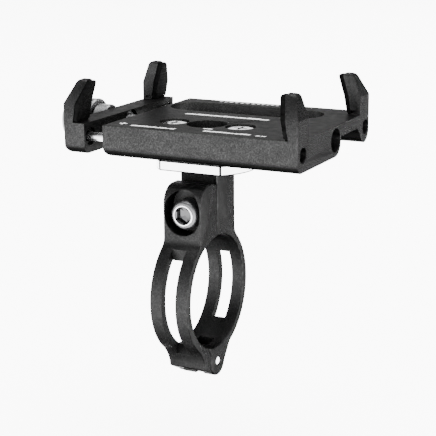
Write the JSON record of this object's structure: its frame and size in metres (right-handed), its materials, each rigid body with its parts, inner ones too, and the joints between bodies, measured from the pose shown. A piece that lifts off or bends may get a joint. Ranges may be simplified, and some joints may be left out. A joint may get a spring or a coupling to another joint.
{
  "type": "handlebar phone mount",
  "caption": "Handlebar phone mount: flat bed plate with two fixed claws and a screw-driven sliding jaw, on a swivel block and a hinged bar clamp.",
  "frame": {"origin": "centre of the handlebar clamp's bore, midway between its two side faces", "axes": "+X along the handlebar and along the jaw's travel, towards the fixed claws; +Y from the clamp's hinged bolt half to its rear half; +Z from the handlebar up to the phone"},
  "size_m": [0.0843, 0.0605, 0.0817],
  "materials": {
    "base_plate": "black anodised, fine bead blast",
    "sliding_jaw": "black anodised, fine bead blast",
    "claw_pad": "matt black rubber",
    "guide_pin": "ground steel",
    "lead_screw": "rolled thread",
    "thumb_knob": "knurled bright metal",
    "knob_washer": "bright turned metal",
    "screw_retaining_clip": "dark spring steel",
    "swivel_block": "bright polished",
    "plate_screw": "bright plated",
    "swivel_screw": "plated steel",
    "swivel_washer": "plated steel",
    "clamp_rear": "black anodised, fine bead blast",
    "clamp_front": "black anodised, fine bead blast",
    "hinge_pin": "bright steel",
    "clamp_bolt": "bright plated"
  },
  "bodies": {
    "clamp": {"clamp_rear": "clamp_rear", "hinge_pin": "hinge_pin", "swivel_screw": "swivel_screw", "swivel_washer": "swivel_washer"},
    "clamp_door": {"clamp_front": "clamp_front"},
    "bolt": {"clamp_bolt": "clamp_bolt"},
    "bed": {"base_plate": "base_plate", "swivel_block": "swivel_block", "plate_screw_left": "plate_screw", "plate_screw_right": "plate_screw", "pad_fixed_front": "claw_pad", "pad_fixed_rear": "claw_pad"},
    "jaw": {"sliding_jaw": "sliding_jaw", "pad_jaw_front": "claw_pad", "pad_jaw_rear": "claw_pad", "guide_pin_front": "guide_pin", "guide_pin_rear": "guide_pin"},
    "drive": {"lead_screw": "lead_screw", "thumb_knob": "thumb_knob", "knob_washer": "knob_washer", "screw_retaining_clip": "screw_retaining_clip"}
  },
  "joints": [
    {"name": "clamp_hinge", "type": "hinge", "parent": "clamp", "child": "clamp_door", "pos_m": [0, -0.0002, -0.0202], "axis": [1, 0, 0], "range_deg": [0, 90]},
    {"name": "bolt_turn", "type": "hinge", "parent": "clamp_door", "child": "bolt", "pos_m": [0, 0, 0.0231], "axis": [0, 1, 0], "continuous": true},
    {"name": "swivel", "type": "hinge", "parent": "clamp", "child": "bed", "pos_m": [0, 0.0053, 0.034], "axis": [0, 0, 1], "continuous": true},
    {"name": "jaw_slide", "type": "slide", "parent": "bed", "child": "jaw", "axis": [1, 0, 0], "range_m": [-0.034, 0.0054]},
    {"name": "knob_turn", "type": "hinge", "parent": "jaw", "child": "drive", "pos_m": [-0.031, 0.0171, 0.0417], "axis": [1, 0, 0], "range_deg": [-15301, 2431]}
  ],
  "couplings": [
    {"joint": "knob_turn", "follows": "jaw_slide", "rad_per_m": 7854}
  ]
}
